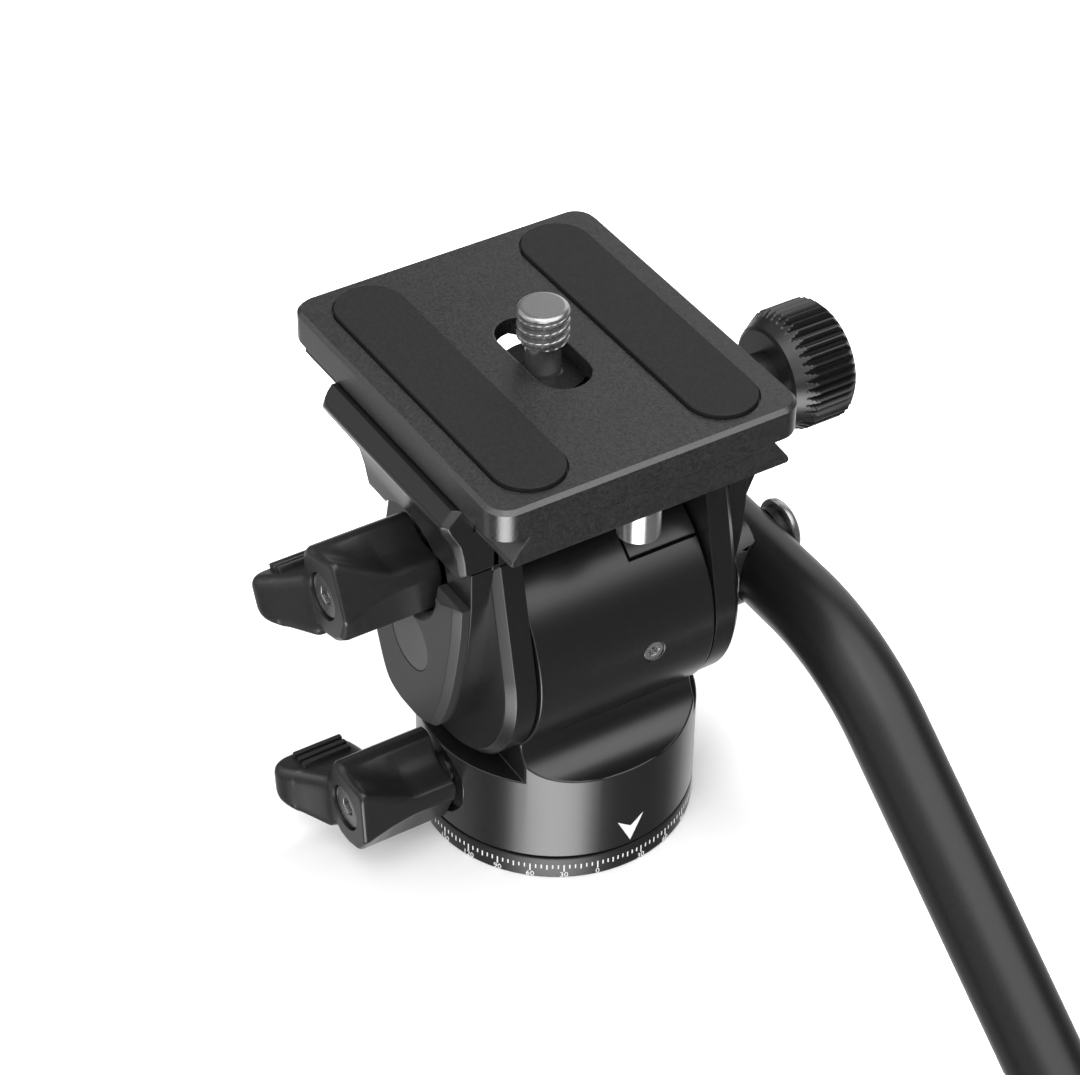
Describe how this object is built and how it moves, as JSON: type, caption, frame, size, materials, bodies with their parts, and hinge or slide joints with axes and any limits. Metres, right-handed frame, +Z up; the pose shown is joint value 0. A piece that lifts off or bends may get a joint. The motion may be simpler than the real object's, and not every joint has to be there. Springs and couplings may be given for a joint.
{
  "type": "fluid video head",
  "caption": "Compact fluid pan and tilt head with a dovetail camera plate in a screw clamp, two lock levers and a bent pan bar.",
  "frame": {"origin": "centre of the tripod thread at the underside of the base, on the pan axis", "axes": "+Z up along the pan axis, +Y to the lens side, +X to the side with the pan bar and the clamp knob"},
  "size_m": [0.0755, 0.1767, 0.1418],
  "materials": {
    "anodised": "black anodised, fine bead-blasted satin",
    "steel": "turned stainless",
    "dark_steel": "black oxide",
    "bronze": "machined",
    "nylon": "plain moulded",
    "lever_plastic": "moulded black, satin",
    "knob_black": "black anodised, fluted",
    "pad_rubber": "matte black",
    "tube_black": "satin black"
  },
  "bodies": {
    "base": {"scale_ring": "anodised", "pan_spindle": "steel", "clamp_disc": "dark_steel", "base_screws": "steel", "pan_keeper": "steel", "keeper_screw": "steel", "pan_washer": "nylon"},
    "pan_head": {"head_body": "anodised", "pan_bushing": "bronze", "drum_inlay": "anodised", "grub_screw": "steel", "tilt_bearings": "steel"},
    "pan_lock": {"pan_lever": "lever_plastic", "pan_stud": "steel", "pan_stud_tip": "nylon", "pan_lever_screw": "steel"},
    "tilt_frame": {"yoke": "anodised", "tilt_cover": "anodised", "cover_cap": "lever_plastic", "cover_screws": "dark_steel", "tilt_shaft": "steel", "tilt_rotor": "nylon", "shaft_screw": "steel", "rosette": "anodised"},
    "tilt_lock": {"tilt_lever": "lever_plastic", "tilt_stud": "steel", "tilt_stud_tip": "nylon", "tilt_lever_screw": "steel"},
    "clamp_jaw": {"jaw": "anodised", "guide_pins": "steel"},
    "clamp_turner": {"clamp_knob": "knob_black", "clamp_screw": "steel"},
    "camera_plate": {"qr_plate": "anodised", "grip_pads": "pad_rubber", "stop_screws": "steel"},
    "screw_carrier": {"screw_washer": "dark_steel"},
    "camera_bolt": {"camera_screw": "steel"},
    "pan_bar": {"handle_saddle": "anodised", "handle_tube": "tube_black", "tube_plug": "lever_plastic", "bolt_washer": "dark_steel", "handle_grip": "pad_rubber", "grip_cap": "lever_plastic"},
    "bar_bolt": {"handle_bolt": "steel"}
  },
  "joints": [
    {"name": "pan_turn", "type": "hinge", "parent": "base", "child": "pan_head", "pos_m": [0, 0, 0.01], "axis": [0, 0, 1], "continuous": true},
    {"name": "pan_lock_turn", "type": "hinge", "parent": "pan_head", "child": "pan_lock", "pos_m": [-0.02, 0, 0.0103], "axis": [1, 0, 0], "range_deg": [-20, 40]},
    {"name": "tilt_turn", "type": "hinge", "parent": "pan_head", "child": "tilt_frame", "pos_m": [0, 0, 0.0324], "axis": [1, 0, 0], "range_deg": [-70, 75]},
    {"name": "tilt_lock_turn", "type": "hinge", "parent": "tilt_frame", "child": "tilt_lock", "pos_m": [-0.022, 0, 0.0453], "axis": [1, 0, 0], "range_deg": [-30, 35]},
    {"name": "jaw_slide", "type": "slide", "parent": "tilt_frame", "child": "clamp_jaw", "axis": [1, 0, 0], "range_m": [0, 0.0028]},
    {"name": "knob_turn", "type": "hinge", "parent": "clamp_jaw", "child": "clamp_turner", "pos_m": [0.03, 0, 0.0536], "axis": [1, 0, 0], "range_deg": [0, 1440]},
    {"name": "plate_slide", "type": "slide", "parent": "tilt_frame", "child": "camera_plate", "axis": [0, 1, 0], "range_m": [-0.0068, 0.0022]},
    {"name": "screw_slide", "type": "slide", "parent": "camera_plate", "child": "screw_carrier", "axis": [0, 1, 0], "range_m": [-0.005, 0.005]},
    {"name": "screw_turn", "type": "hinge", "parent": "screw_carrier", "child": "camera_bolt", "pos_m": [0, 0.00426, 0.06], "axis": [0, 0, 1], "continuous": true},
    {"name": "bar_turn", "type": "hinge", "parent": "tilt_frame", "child": "pan_bar", "pos_m": [0.025, 0, 0.028], "axis": [1, 0, 0], "range_deg": [-55, 60]},
    {"name": "bolt_turn", "type": "hinge", "parent": "tilt_frame", "child": "bar_bolt", "pos_m": [0.025, 0, 0.028], "axis": [1, 0, 0], "range_deg": [0, 720]}
  ],
  "couplings": [
    {"joint": "jaw_slide", "follows": "knob_turn", "m_per_rad": 0.000111}
  ]
}
